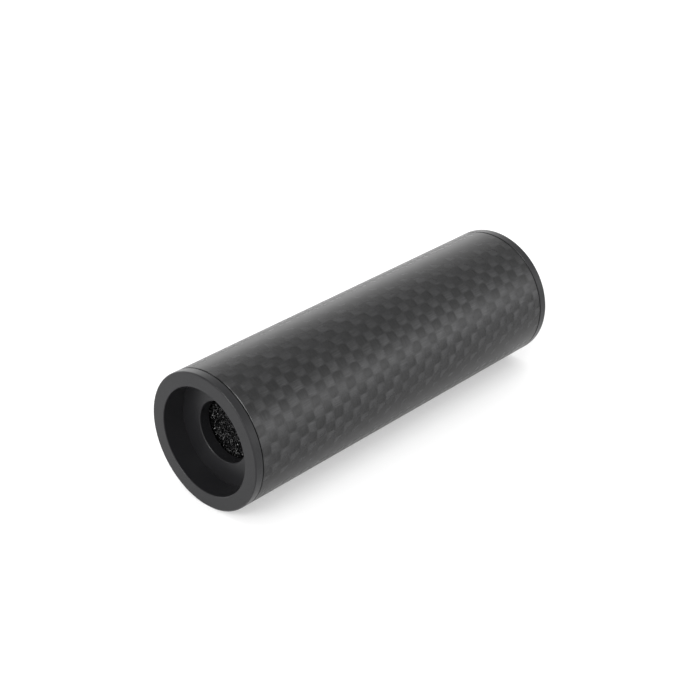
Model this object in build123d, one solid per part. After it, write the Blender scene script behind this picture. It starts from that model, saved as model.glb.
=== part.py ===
from build123d import *
import math
import os

# A foam-filled carbon-fibre cylinder with a screwed metal cap at each end, lying on its side.
# The tube's axis is Y: the open end faces -Y, the closed end faces +Y, and +Z is up.
# The origin is on the axis, halfway along the cylinder. Sizes are in millimetres.
#
# Each end is drawn in its own frame first: the axis is Z there, z = 0 is the outer end face, and z grows
# inwards. A depth is a distance along that axis.

# Driving dimensions
BODY_RADIUS = 15.0
BODY_LENGTH = 92.6
TUBE_WALL = 1.2
FLANGE_DEPTH = 2.0  # how much of a cap shows beyond the tube
SEAM = 0.2  # the open line between a cap's flange and the tube's end
RECESS_RADIUS = 11.8
RECESS_DEPTH = 5.2
OPENING_RADIUS = 6.7
FLOOR_THICKNESS = 2.5
THREAD_PITCH = 1.5
THREAD_RADIUS = 12.6  # crest of the caps' outside thread
FOAM_DISCS = 4

# Cap and seal details
TUBE_BORE = BODY_RADIUS - TUBE_WALL
LAND_GAP = 0.15
LAND_RADIUS = TUBE_BORE - LAND_GAP  # the plain part of a cap that slides in the tube's mouth
SHOULDER_DEPTH = 5.7
CAP_DEPTH = 10.4
SKIRT_BORE = 10.6
SEAL_CORD = 1.0
SEAL_SLACK = 0.02  # keeps the seal clear of the groove and of the bore that it runs in
GROOVE_WIDTH = SEAL_CORD + 4 * SEAL_SLACK
GROOVE_RADIUS = TUBE_BORE - SEAL_CORD - 2 * SEAL_SLACK
RIM_ROUND = 0.3
EDGE_BREAK = 0.12
CAP_ROUNDED = [((BODY_RADIUS, 0), RIM_ROUND)]
CAP_BEVELLED = [((BODY_RADIUS, FLANGE_DEPTH), EDGE_BREAK), ((LAND_RADIUS, SHOULDER_DEPTH), EDGE_BREAK)]

# Closed cap
CLOSED_FLOOR = 3.2
RELIEF_RADIUS = 11.6
RELIEF_DEPTH = 0.5

# Screw threads: the ridges' shape, and the play between the two threads
THREAD_DEPTH = 0.8
CREST_HALF_WIDTH = 0.12
FLANK_SLOPE = math.tan(math.radians(30))
AXIAL_PLAY = 0.1
RADIAL_PLAY = 0.15
ROOT_OVERLAP = 0.05  # how far a ridge is sunk into the metal that carries it
CAP_THREAD = (SHOULDER_DEPTH + THREAD_PITCH / 3, CAP_DEPTH - EDGE_BREAK)  # first and last depth

# Threaded rings bonded in the tube's mouths
RING_GAP = 0.05
RING_START = SHOULDER_DEPTH + RING_GAP
RING_END = 12.0
BOND_GAP = 0.03

# Foam discs
FOAM_GAP = 0.3
FOAM_RADIUS = TUBE_BORE - FOAM_GAP
NOSE_RADIUS = SKIRT_BORE - FOAM_GAP
DISC_GAP = 0.05

OPEN_END = Plane(origin=(0, -BODY_LENGTH / 2, 0), x_dir=(1, 0, 0), z_dir=(0, 1, 0))
CLOSED_END = Plane(origin=(0, BODY_LENGTH / 2, 0), x_dir=(1, 0, 0), z_dir=(0, -1, 0))


def turned(outline, rounded=(), bevelled=()):
    """A solid turned about Z. A corner is (radius, depth); rounded and bevelled hold (corner, size)."""
    face = make_face(Polyline(*outline, close=True))
    for corner, size in rounded:
        face = fillet(face.vertices().sort_by_distance(Vector(*corner))[0], size)
    for corner, size in bevelled:
        face = chamfer(face.vertices().sort_by_distance(Vector(*corner))[0], size)
    return revolve(Plane.XZ * face, Axis.Z)


def helical_ridge(root, crest, root_half, crest_half, middle, start, end):
    """A right-handed thread ridge about Z, cut off at start and end. At angle 0 it passes through middle."""
    turns_below = math.ceil((middle - start) / THREAD_PITCH) + 1
    low = middle - turns_below * THREAD_PITCH
    turns = math.ceil((end - low) / THREAD_PITCH) + 1

    def helix(radius, offset):
        return Edge.make_helix(THREAD_PITCH, turns * THREAD_PITCH, radius, center=(0, 0, low + offset))

    corners = [(root, -root_half), (crest, -crest_half), (crest, crest_half), (root, root_half)]
    edges = [helix(radius, offset) for radius, offset in corners]
    sides = [Face.make_surface_from_curves(a, b) for a, b in zip(edges, edges[1:] + edges[:1])]
    ends = [
        Face(Wire(Polyline(*[edge.position_at(share) for edge in edges], close=True).edges()))
        for share in (0, 1)
    ]
    ridge = Solid(Shell(sides + ends))
    band = Cylinder(BODY_RADIUS, end - start, align=(Align.CENTER, Align.CENTER, Align.MIN))
    return ridge & Pos(0, 0, start) * band


def ridge_half_width(radius):
    """Half the width of the caps' ridge at that radius."""
    return CREST_HALF_WIDTH + (THREAD_RADIUS - radius) * FLANK_SLOPE


def outside_thread(start, end):
    """The caps' ridge."""
    root = THREAD_RADIUS - THREAD_DEPTH
    return helical_ridge(
        root, THREAD_RADIUS, ridge_half_width(root), CREST_HALF_WIDTH, SHOULDER_DEPTH, start, end
    )


def inside_thread(start, end):
    """The ring's ridge: it fills the gaps between the caps' turns, less the play."""
    root = THREAD_RADIUS + RADIAL_PLAY
    crest = THREAD_RADIUS - THREAD_DEPTH + RADIAL_PLAY

    def half_width(radius):
        return THREAD_PITCH / 2 - ridge_half_width(radius) - AXIAL_PLAY

    middle = SHOULDER_DEPTH + THREAD_PITCH / 2
    return helical_ridge(root, crest, half_width(root), half_width(crest), middle, start, end)


def cap_outside():
    """The outside of both caps, from the rounded rim of the end face to the end of the threaded skirt."""
    core = THREAD_RADIUS - THREAD_DEPTH + ROOT_OVERLAP
    return [
        (BODY_RADIUS, 0),
        (BODY_RADIUS, FLANGE_DEPTH),
        (GROOVE_RADIUS, FLANGE_DEPTH),
        (GROOVE_RADIUS, FLANGE_DEPTH + GROOVE_WIDTH),
        (LAND_RADIUS, FLANGE_DEPTH + GROOVE_WIDTH),
        (LAND_RADIUS, SHOULDER_DEPTH),
        (core, SHOULDER_DEPTH),
        (core, CAP_DEPTH),
        (SKIRT_BORE, CAP_DEPTH),
    ]


def open_cap():
    """The cap with the deep round recess, and the round opening through the recess's floor."""
    floor_back = RECESS_DEPTH + FLOOR_THICKNESS
    outline = cap_outside() + [
        (SKIRT_BORE, floor_back),
        (OPENING_RADIUS, floor_back),
        (OPENING_RADIUS, RECESS_DEPTH),
        (RECESS_RADIUS, RECESS_DEPTH),
        (RECESS_RADIUS, 0),
    ]
    edges = [(OPENING_RADIUS, RECESS_DEPTH), (RECESS_RADIUS, 0)]
    bevelled = CAP_BEVELLED + [(corner, EDGE_BREAK) for corner in edges]
    return turned(outline, CAP_ROUNDED, bevelled) + outside_thread(*CAP_THREAD)


def closed_cap():
    """The cap with an unbroken floor, and a shallow turned relief in its end face."""
    outline = cap_outside() + [
        (SKIRT_BORE, CLOSED_FLOOR),
        (0, CLOSED_FLOOR),
        (0, RELIEF_DEPTH),
        (RELIEF_RADIUS, RELIEF_DEPTH),
        (RELIEF_RADIUS, 0),
    ]
    bevelled = CAP_BEVELLED + [((RELIEF_RADIUS, 0), EDGE_BREAK)]
    return turned(outline, CAP_ROUNDED, bevelled) + outside_thread(*CAP_THREAD)


def thread_ring():
    """The inside-threaded ring that is bonded in each mouth of the tube, below the cap's shoulder."""
    outer = TUBE_BORE - BOND_GAP
    bore = THREAD_RADIUS + RADIAL_PLAY - ROOT_OVERLAP
    outline = [(bore, RING_START), (outer, RING_START), (outer, RING_END), (bore, RING_END)]
    bevelled = [((outer, RING_START), EDGE_BREAK), ((outer, RING_END), EDGE_BREAK)]
    ridge = inside_thread(RING_START + EDGE_BREAK, RING_END - EDGE_BREAK)
    return turned(outline, bevelled=bevelled) + ridge


def seal():
    """The rubber cord ring in the groove behind a cap's flange. It shows as the dark line in the seam."""
    middle = TUBE_BORE - SEAL_SLACK - SEAL_CORD / 2
    return Pos(0, 0, FLANGE_DEPTH + GROOVE_WIDTH / 2) * Torus(middle, SEAL_CORD / 2)


def carbon_tube():
    start = FLANGE_DEPTH + SEAM
    end = BODY_LENGTH - start
    outline = [(TUBE_BORE, start), (BODY_RADIUS, start), (BODY_RADIUS, end), (TUBE_BORE, end)]
    return turned(outline, bevelled=[(corner, EDGE_BREAK) for corner in outline])


def foam_discs():
    """The stack of foam discs. The first and last narrow to a nose where the rings and caps squeeze them."""
    start = RECESS_DEPTH + FLOOR_THICKNESS + FOAM_GAP
    end = BODY_LENGTH - CLOSED_FLOOR - FOAM_GAP
    step = (end - start) / FOAM_DISCS
    front_neck = RING_END + FOAM_GAP
    rear_neck = BODY_LENGTH - front_neck
    discs = []
    for number in range(FOAM_DISCS):
        low = start + number * step
        high = low + step - DISC_GAP
        outline = [(0, low), (FOAM_RADIUS, low), (FOAM_RADIUS, high), (0, high)]
        if number == 0:
            outline[1:2] = [(NOSE_RADIUS, low), (NOSE_RADIUS, front_neck), (FOAM_RADIUS, front_neck)]
        if number == FOAM_DISCS - 1:
            outline[2:3] = [(FOAM_RADIUS, rear_neck), (NOSE_RADIUS, rear_neck), (NOSE_RADIUS, high)]
        discs.append(turned(outline))
    return discs


def parts():
    """Every piece in its place, by name."""
    made = {
        "carbon_tube": OPEN_END * carbon_tube(),
        "open_cap": OPEN_END * open_cap(),
        "closed_cap": CLOSED_END * closed_cap(),
        "open_thread_ring": OPEN_END * thread_ring(),
        "closed_thread_ring": CLOSED_END * thread_ring(),
        "open_seal": OPEN_END * seal(),
        "closed_seal": CLOSED_END * seal(),
    }
    for number, disc in enumerate(foam_discs(), 1):
        made[f"foam_disc_{number}"] = OPEN_END * disc
    return made


os.makedirs("parts", exist_ok=True)
for name, shape in parts().items():
    print(name, len(shape.solids()), round(shape.volume, 1), shape.is_valid)
    export_step(shape, f"parts/{name}.step")
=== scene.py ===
import bpy
import math
import random
from mathutils import Euler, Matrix, Quaternion, Vector, noise


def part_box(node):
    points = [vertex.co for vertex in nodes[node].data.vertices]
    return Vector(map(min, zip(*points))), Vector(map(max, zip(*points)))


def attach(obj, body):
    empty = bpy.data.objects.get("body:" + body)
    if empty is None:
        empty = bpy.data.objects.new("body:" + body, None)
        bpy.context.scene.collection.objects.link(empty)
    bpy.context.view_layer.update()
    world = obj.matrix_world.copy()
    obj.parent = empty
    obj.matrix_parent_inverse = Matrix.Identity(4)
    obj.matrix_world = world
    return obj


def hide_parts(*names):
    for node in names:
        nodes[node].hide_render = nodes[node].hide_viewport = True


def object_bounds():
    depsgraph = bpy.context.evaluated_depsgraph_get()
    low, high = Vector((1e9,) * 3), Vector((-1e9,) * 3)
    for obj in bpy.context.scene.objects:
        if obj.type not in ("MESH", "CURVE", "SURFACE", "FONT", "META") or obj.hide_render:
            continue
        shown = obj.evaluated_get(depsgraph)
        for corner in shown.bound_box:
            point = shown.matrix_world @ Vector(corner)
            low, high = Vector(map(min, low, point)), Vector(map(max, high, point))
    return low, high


# A foam-filled carbon-fibre cylinder with black metal end caps, lying on a pale table under soft light.
# Everything is in metres, in the CAD's frame: the tube's axis is Y, and its open end faces -Y.

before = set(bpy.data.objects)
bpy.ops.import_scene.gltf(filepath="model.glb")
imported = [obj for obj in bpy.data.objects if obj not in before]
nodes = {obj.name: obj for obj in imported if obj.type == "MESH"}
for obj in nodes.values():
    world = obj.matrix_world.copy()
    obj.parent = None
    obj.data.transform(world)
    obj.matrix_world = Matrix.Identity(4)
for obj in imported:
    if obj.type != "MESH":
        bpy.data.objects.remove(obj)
cad_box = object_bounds()

MM = 0.001
RADIUS = cad_box[1].x

# Camera
VIEW_AZIMUTH = math.radians(42.9)
VIEW_ELEVATION = math.radians(28.5)
VIEW_DISTANCE = 334 * MM
VIEW_ASIDE = (-2.54 * MM, 2.06 * MM)  # right and up of the line to the object's centre
LENS = 79.3
SENSOR = 36
CLIP = (0.01, 20)

# Carbon cloth: a plain weave of flat tows
TOWS_AROUND = 42
TOW_PITCH = 2.55 * MM
CLOTH_TURN = math.radians(27.4)  # where one axial tow lies
CLOTH_SHIFT = 0.1 * MM  # where it passes over a hoop tow
WANDER = 0.5  # how far the tows stray, as a share of their width
WANDER_SCALE = 220
AXIAL_LEAD = 0.03  # how far the axial tows' floats outgrow the hoop tows'
TOW_EDGE = 0.3  # how soft the step from one tow to the next is
TOW_RISE = 0.12 * MM
VALLEY_ROUND = 0.02
# Painted shade: the cloth's colour is darkened in the valleys between tows, where shade falls
VALLEY_HEIGHTS = (0.15, 0.5)  # between these heights, the painted shade of the valleys fades out
VALLEY_PAINTED_SHADE = 0.85
UNEVEN = 0.8  # slow unevenness of the cloth, as a share of a tow's rise
UNEVEN_SCALE = 500
# Partly painted reflection: the fibres' dark colour is real, but the axial tows get twice the hoop tows'
# colour to stand for their brighter reflection, though both fibres reflect alike
AXIAL_SHEEN = 0.035
HOOP_SHEEN = 0.0175
AXIAL_FIBRES = (150.0, 250.0)  # streaks for each radian around and each metre along
HOOP_FIBRES = (4.0, 10000.0)
STREAK_NOISE = (0.3, 0.7)
STREAK_SHADES = (0.7, 1.3)
TOW_SHADES = (0.88, 1.12)
GLOSS = (0.28, 0.4)  # the fibres' roughness, from one patch to the next
GLOSS_SCALE = 900

# Anodised metal
CAP_LEVEL = 0.011
RING_LEVEL = 0.045
BLAST_SCALE = 9000
PATCH_SCALE = 180
TOOL_RINGS = 9000.0
TOOL_RING_RISE = 0.8  # against the blasted grain
TOOL_RING_EDGE = (11.6 * MM, 11.9 * MM)  # the tool's rings show inside this radius
METAL_RISE = 0.012 * MM

# Foam
CELL = 1.0 * MM
STRUT_RADIUS = 0.06 * MM
STRUT_SPREAD = (0.7, 1.3)
STRUT_DEPTH = 1.5 * MM  # how far in from an end face the struts are modelled one by one
CORNER_SHIFT = 0.11  # how far a cell's corner strays, as a share of a cell
LATTICE_TURN = (0.5, 0.35, 0.8)  # turns the cells away from the tube's axes
HALF_STEPS = [(0, 1, 1), (0, 1, -1), (1, 0, 1), (1, 0, -1), (1, 1, 0), (1, -1, 0)]
FRONT_SEED = 7
REAR_SEED = 8
CORE_STEP = 0.45 * MM
CORE_SIDES = 128
CORE_BUMPS = 0.25 * MM
BUMP_SIZE = 0.6 * CELL
FOAM_RADIUS = 13.5 * MM
NOSE_RADIUS = 10.3 * MM
NECK_Y = 34.0 * MM  # where the end discs narrow
AXIS_GAP = 0.1 * MM

# Studio
TABLE_HALF = 3.0
SKY = {"From Min": 0.0, "From Max": 0.8, "To Min": 2.2, "To Max": 0.85}  # brightness from horizon to top
LIGHTS = [  # name, place, size, watts
    ("top_box", (-0.1, 0.0, 0.8), (0.6, 0.6), 0.8),
    ("back_box", (-0.6, 0.64, 0.42), (0.8, 0.6), 0.55),
    ("side_box", (0.62, 0.58, 0.24), (0.5, 0.26), 0.17),
    ("front_box", (0.2, -0.58, 0.52), (0.35, 0.3), 3),
]


class Material:
    """A material, with short calls for its nodes. A value can be a number or another node's socket."""

    def __init__(self, name):
        self.data = bpy.data.materials.new(name)
        self.data.use_nodes = True
        self.tree = self.data.node_tree
        self.shader = self.tree.nodes["Principled BSDF"]
        self.place = self.node("TexCoord").outputs["Object"]

    def node(self, kind, **settings):
        made = self.tree.nodes.new("ShaderNode" + kind)
        for key, value in settings.items():
            setattr(made, key, value)
        return made

    def put(self, socket, value):
        if isinstance(value, bpy.types.NodeSocket):
            self.tree.links.new(value, socket)
        else:
            socket.default_value = value

    def fill(self, made, *values):
        """Puts the values in the node's first sockets."""
        for socket, value in zip(made.inputs, values):
            self.put(socket, value)
        return made

    def set(self, **values):
        """Sets the shader's own sockets."""
        for key, value in values.items():
            self.put(self.shader.inputs[key.replace("_", " ")], value)

    def math(self, operation, *values):
        return self.fill(self.node("Math", operation=operation), *values).outputs[0]

    def add(self, a, b):
        return self.math("ADD", a, b)

    def times(self, a, b):
        return self.math("MULTIPLY", a, b)

    def mix(self, share, a, b):
        """A number between a and b."""
        made = self.node("Mix")
        for index, value in zip((0, 2, 3), (share, a, b)):
            self.put(made.inputs[index], value)
        return made.outputs[0]

    def smooth(self, value, low, high, to_low=0.0, to_high=1.0):
        """A smooth step: to_low below low, and to_high above high."""
        made = self.node("MapRange", interpolation_type="SMOOTHSTEP")
        return self.fill(made, value, low, high, to_low, to_high).outputs[0]

    def noise(self, place, scale, detail=2.0, roughness=0.5):
        made = self.node("TexNoise")
        settings = {"Vector": place, "Scale": scale, "Detail": detail, "Roughness": roughness}
        for key, value in settings.items():
            self.put(made.inputs[key], value)
        return made.outputs["Fac"]

    def split(self, vector):
        return self.fill(self.node("SeparateXYZ"), vector).outputs

    def join(self, x, y, z):
        return self.fill(self.node("CombineXYZ"), x, y, z).outputs[0]

    def grey(self, value, blue=1.0):
        """A colour of that brightness, with its blue made a little stronger."""
        return self.join(value, value, self.times(value, blue))

    def bump(self, height, distance, strength=1.0):
        made = self.node("Bump")
        for key, value in {"Height": height, "Distance": distance, "Strength": strength}.items():
            self.put(made.inputs[key], value)
        return made.outputs[0]


def carbon_cloth():
    """Plain-weave cloth under a matte clear coat, laid out by angle and distance along the axis."""
    m = Material("carbon_cloth")
    x, y, z = m.split(m.place)
    angle = m.math("ARCTAN2", z, x)
    wander = m.times(m.math("SUBTRACT", m.noise(m.place, WANDER_SCALE), 0.5), WANDER)

    def tow_count(value, start, pitch):
        """The number of tows from start. It passes a whole number midway between two tows."""
        tows = m.math("DIVIDE", m.math("SUBTRACT", value, start), pitch)
        return m.add(m.add(tows, 0.5), wander)

    def fibres(streaks_around, streaks_along):
        place = m.join(m.times(angle, streaks_around), m.times(y, streaks_along), 0.0)
        return m.noise(place, 1.0, 3)

    around = tow_count(angle, CLOTH_TURN, 2 * math.pi / TOWS_AROUND)
    along = tow_count(y, CLOTH_SHIFT, TOW_PITCH)
    waves = [m.math("SINE", m.times(count, math.pi)) for count in (around, along)]
    over = m.add(m.times(*waves), AXIAL_LEAD)
    axial_on_top = m.smooth(over, -TOW_EDGE, TOW_EDGE)
    height = m.math("SQRT", m.add(m.times(over, over), VALLEY_ROUND))
    uneven = m.times(m.noise(m.place, UNEVEN_SCALE), UNEVEN)

    chance = m.node("TexWhiteNoise")
    m.put(chance.inputs["Vector"], m.join(m.math("FLOOR", around), m.math("FLOOR", along), 0.0))
    grain = m.mix(axial_on_top, fibres(*HOOP_FIBRES), fibres(*AXIAL_FIBRES))
    streaks = m.smooth(grain, *STREAK_NOISE, *STREAK_SHADES)
    shade = m.times(streaks, m.mix(chance.outputs["Value"], *TOW_SHADES))
    # Painted shade: the colour darkens in the valleys between tows
    shade = m.times(shade, m.smooth(height, *VALLEY_HEIGHTS, VALLEY_PAINTED_SHADE, 1.0))
    # Painted reflection and painted shade: axial floats lighter and valleys darker, on top of the real
    # streaks and tow tones
    bright = m.times(m.mix(axial_on_top, HOOP_SHEEN, AXIAL_SHEEN), shade)

    m.set(
        Base_Color=m.grey(bright, blue=1.03), Metallic=1.0, Anisotropic=0.8,
        Roughness=m.mix(m.noise(m.place, GLOSS_SCALE), *GLOSS),
        Tangent=m.node("Tangent", direction_type="RADIAL", axis="Y").outputs[0],
        Anisotropic_Rotation=m.mix(m.math("GREATER_THAN", axial_on_top, 0.5), 0.25, 0.0),
        Specular_Tint=(0.06, 0.06, 0.06, 1), Normal=m.bump(m.add(height, uneven), TOW_RISE),
        Coat_Weight=0.75, Coat_Roughness=0.3, Coat_IOR=1.45,
        Coat_Normal=m.bump(m.noise(m.place, 2500), 0.003 * MM),
    )
    return m.data


def anodised(name, level):
    """Bead-blasted and black-anodised metal, with the tool's rings left on the inner flat faces."""
    m = Material(name)
    x, y, z = m.split(m.place)
    blast = m.noise(m.place, BLAST_SCALE, 3, 0.6)
    patches = m.noise(m.place, PATCH_SCALE, 3)
    radius = m.math("SQRT", m.add(m.times(x, x), m.times(z, z)))
    rings = m.noise(m.join(m.times(radius, TOOL_RINGS), 0.0, 0.0), 1.0)
    inside = m.smooth(radius, *TOOL_RING_EDGE, 1, 0)
    height = m.add(blast, m.times(m.times(rings, inside), TOOL_RING_RISE))
    shade = m.times(m.mix(blast, 0.8, 1.2), m.mix(patches, 0.92, 1.08))
    m.set(
        Base_Color=m.grey(m.times(shade, level), blue=1.1), Metallic=0.0, Specular_IOR_Level=0.25,
        Roughness=m.mix(patches, 0.28, 0.36), Normal=m.bump(height, METAL_RISE, 0.7),
    )
    return m.data


def grained(name, scale, detail, levels, roughness, rise, blue=1.0, **more):
    """A dull material whose brightness, roughness and relief all follow one fine grain."""
    m = Material(name)
    grain = m.noise(m.place, scale, detail)
    rough = m.mix(grain, *roughness) if isinstance(roughness, tuple) else roughness
    m.set(
        Base_Color=m.grey(m.mix(grain, *levels), blue), Roughness=rough, Normal=m.bump(grain, rise), **more
    )
    return m.data


def foam_struts(middle, seed):
    """The struts of packed 14-sided cells in a slice of foam, as thin closed prisms: (points, faces)."""
    chance = random.Random(seed)
    quarter = CELL / 4
    reach = math.ceil(math.hypot(NOSE_RADIUS, STRUT_DEPTH) / quarter)
    turn = Euler(LATTICE_TURN).to_matrix()
    corners = {}
    span = range(-reach, reach + 1)
    for i in span:
        for j in span:
            for k in span:
                if sorted((i % 4, j % 4, k % 4)) not in ([0, 1, 2], [0, 2, 3]):
                    continue
                place = turn @ (Vector((i, j, k)) * quarter)
                if abs(place.y) < STRUT_DEPTH / 2 and math.hypot(place.x, place.z) < NOSE_RADIUS:
                    shift = Vector([chance.uniform(-1, 1) for axis in range(3)]) * CELL * CORNER_SHIFT
                    corners[i, j, k] = place + shift
    points, faces = [], []
    for (i, j, k), start in corners.items():
        for step in HALF_STEPS:
            end = corners.get((i + step[0], j + step[1], k + step[2]))
            if end is None:
                continue
            along = (end - start).normalized()
            side = along.orthogonal().normalized() * STRUT_RADIUS * chance.uniform(*STRUT_SPREAD)
            side.rotate(Quaternion(along, chance.uniform(0, math.tau)))
            third = Quaternion(along, math.tau / 3)
            first = len(points)
            for _ in range(3):
                points += [middle + start + side, middle + end + side]
                side = third @ side
            a, b, c, d, e, f = range(first, first + 6)
            faces += [(a, c, d, b), (c, e, f, d), (e, a, b, f), (a, e, c), (b, d, f)]
    return points, faces


def foam_core(outline):
    """The foam behind the struts: an outline of (radius, y) corners turned about Y, with a bumpy skin."""
    rings = []
    for (r0, y0), (r1, y1) in zip(outline, outline[1:]):
        steps = math.ceil(math.hypot(r1 - r0, y1 - y0) / CORE_STEP)
        inward = Vector((y0 - y1, r1 - r0)).normalized()
        rings += [(Vector((r0, y0)).lerp((r1, y1), n / steps), inward) for n in range(steps)]
    rings = rings[1:]  # the first ring lies on the axis, where one point closes the end
    points = [Vector((0, outline[0][1], 0)), Vector((0, outline[-1][1], 0))]
    for place, inward in rings:
        for n in range(CORE_SIDES):
            angle = math.tau * n / CORE_SIDES
            spot = Vector((place.x * math.cos(angle), place.y, place.x * math.sin(angle)))
            dent = (0.5 + 0.5 * noise.noise(spot / BUMP_SIZE)) * CORE_BUMPS
            r, y = place + inward * dent
            r = max(r, AXIS_GAP)
            points.append(Vector((r * math.cos(angle), y, r * math.sin(angle))))

    def index(ring, n):
        return 2 + ring * CORE_SIDES + n % CORE_SIDES

    last = len(rings) - 1
    faces = []
    for n in range(CORE_SIDES):
        faces += [(0, index(0, n), index(0, n + 1)), (1, index(last, n + 1), index(last, n))]
        for ring in range(last):
            faces.append((index(ring, n), index(ring + 1, n), index(ring + 1, n + 1), index(ring, n + 1)))
    return points, faces


def foam_disc(number, material):
    """Stands for one CAD foam disc. The discs at the ends get a face of open cells."""
    node = f"foam_disc_{number}"
    low, high = (corner[1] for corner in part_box(node))
    lower = [(0, low), (FOAM_RADIUS, low)]
    upper = [(FOAM_RADIUS, high), (0, high)]
    parts = []
    if number == 1:
        face = low + STRUT_DEPTH
        lower = [(0, face), (NOSE_RADIUS, face), (NOSE_RADIUS, -NECK_Y), (FOAM_RADIUS, -NECK_Y)]
        parts.append(foam_struts(Vector((0, low + STRUT_DEPTH / 2 + STRUT_RADIUS, 0)), FRONT_SEED))
    if number == 4:
        face = high - STRUT_DEPTH
        upper = [(FOAM_RADIUS, NECK_Y), (NOSE_RADIUS, NECK_Y), (NOSE_RADIUS, face), (0, face)]
        parts.append(foam_struts(Vector((0, high - STRUT_DEPTH / 2 - STRUT_RADIUS, 0)), REAR_SEED))
    parts.append(foam_core(lower + upper))
    points, faces = [], []
    for more_points, more_faces in parts:
        faces += [[corner + len(points) for corner in face] for face in more_faces]
        points += more_points
    mesh = bpy.data.meshes.new(f"foam_{number}")
    mesh.from_pydata(points, [], faces)
    mesh.materials.append(material)
    piece = bpy.data.objects.new(f"foam_{number}", mesh)
    bpy.context.scene.collection.objects.link(piece)
    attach(piece, "tube")
    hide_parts(node)


def dress(name, material):
    """Gives a CAD node its material."""
    data = nodes[name].data
    data.materials.clear()
    data.materials.append(material)
    for polygon in data.polygons:
        polygon.material_index = 0


def camera():
    a, e = VIEW_AZIMUTH, VIEW_ELEVATION
    back = Vector((math.sin(a) * math.cos(e), -math.cos(a) * math.cos(e), math.sin(e)))
    right = Vector((math.cos(a), math.sin(a), 0))
    up = back.cross(right)
    data = bpy.data.cameras.new("camera")
    data.lens, data.sensor_width = LENS, SENSOR
    data.clip_start, data.clip_end = CLIP
    made = bpy.data.objects.new("camera", data)
    bpy.context.scene.collection.objects.link(made)
    made.location = back * VIEW_DISTANCE + right * VIEW_ASIDE[0] + up * VIEW_ASIDE[1]
    made.rotation_mode = "QUATERNION"
    made.rotation_quaternion = (-back).to_track_quat("-Z", "Y")
    bpy.context.scene.camera = made


def sky():
    """A white surround, brightest at the horizon."""
    world = bpy.data.worlds.new("studio")
    world.use_nodes = True
    tree = world.node_tree
    direction = tree.nodes.new("ShaderNodeTexCoord")
    height = tree.nodes.new("ShaderNodeSeparateXYZ")
    fade = tree.nodes.new("ShaderNodeMapRange")
    fade.interpolation_type = "SMOOTHSTEP"
    for name, value in SKY.items():
        fade.inputs[name].default_value = value
    tree.links.new(direction.outputs["Generated"], height.inputs[0])
    tree.links.new(height.outputs["Z"], fade.inputs["Value"])
    tree.links.new(fade.outputs[0], tree.nodes["Background"].inputs["Strength"])
    tree.nodes["Background"].inputs["Color"].default_value = (1, 1, 1, 1)
    bpy.context.scene.world = world
    bpy.context.scene.view_settings.view_transform = "Standard"


def table():
    """The pale table top. It glows a little, so that it's white around the object."""
    side = TABLE_HALF
    mesh = bpy.data.meshes.new("table")
    corners = [(-side, -side, -RADIUS), (side, -side, -RADIUS), (side, side, -RADIUS), (-side, side, -RADIUS)]
    mesh.from_pydata(corners, [], [(0, 1, 2, 3)])
    mesh.materials.append(grained(
        "table_top", scale=300, detail=4, levels=(0.6, 0.64), roughness=0.6, rise=0.02 * MM,
        Specular_IOR_Level=0.2, Emission_Color=(1, 1, 1, 1), Emission_Strength=0.38,
    ))
    top = bpy.data.objects.new("table", mesh)
    bpy.context.scene.collection.objects.link(top)


def light(name, place, size, watts):
    """A soft box that faces the object."""
    data = bpy.data.lights.new(name, "AREA")
    data.shape = "RECTANGLE"
    data.size, data.size_y = size
    data.energy = watts
    lamp = bpy.data.objects.new(name, data)
    bpy.context.scene.collection.objects.link(lamp)
    lamp.location = place
    lamp.rotation_mode = "QUATERNION"
    lamp.rotation_quaternion = (-Vector(place)).to_track_quat("-Z", "Y")


dress("carbon_tube", carbon_cloth())
cap_metal = anodised("anodised_caps", CAP_LEVEL)
ring_metal = anodised("anodised_rings", RING_LEVEL)
seal_rubber = grained(
    "seal_rubber", scale=6000, detail=3, levels=(0.008, 0.016), roughness=(0.5, 0.65), rise=0.01 * MM
)
for end in ("open", "closed"):
    dress(f"{end}_cap", cap_metal)
    dress(f"{end}_thread_ring", ring_metal)
    dress(f"{end}_seal", seal_rubber)
foam = grained(
    "open_cell_foam", scale=2500, detail=2, levels=(0.004, 0.01), roughness=(0.08, 0.22), rise=0.01 * MM,
    blue=1.05,
)
for number in (1, 2, 3, 4):
    foam_disc(number, foam)

camera()
sky()
table()
for settings in LIGHTS:
    light(*settings)
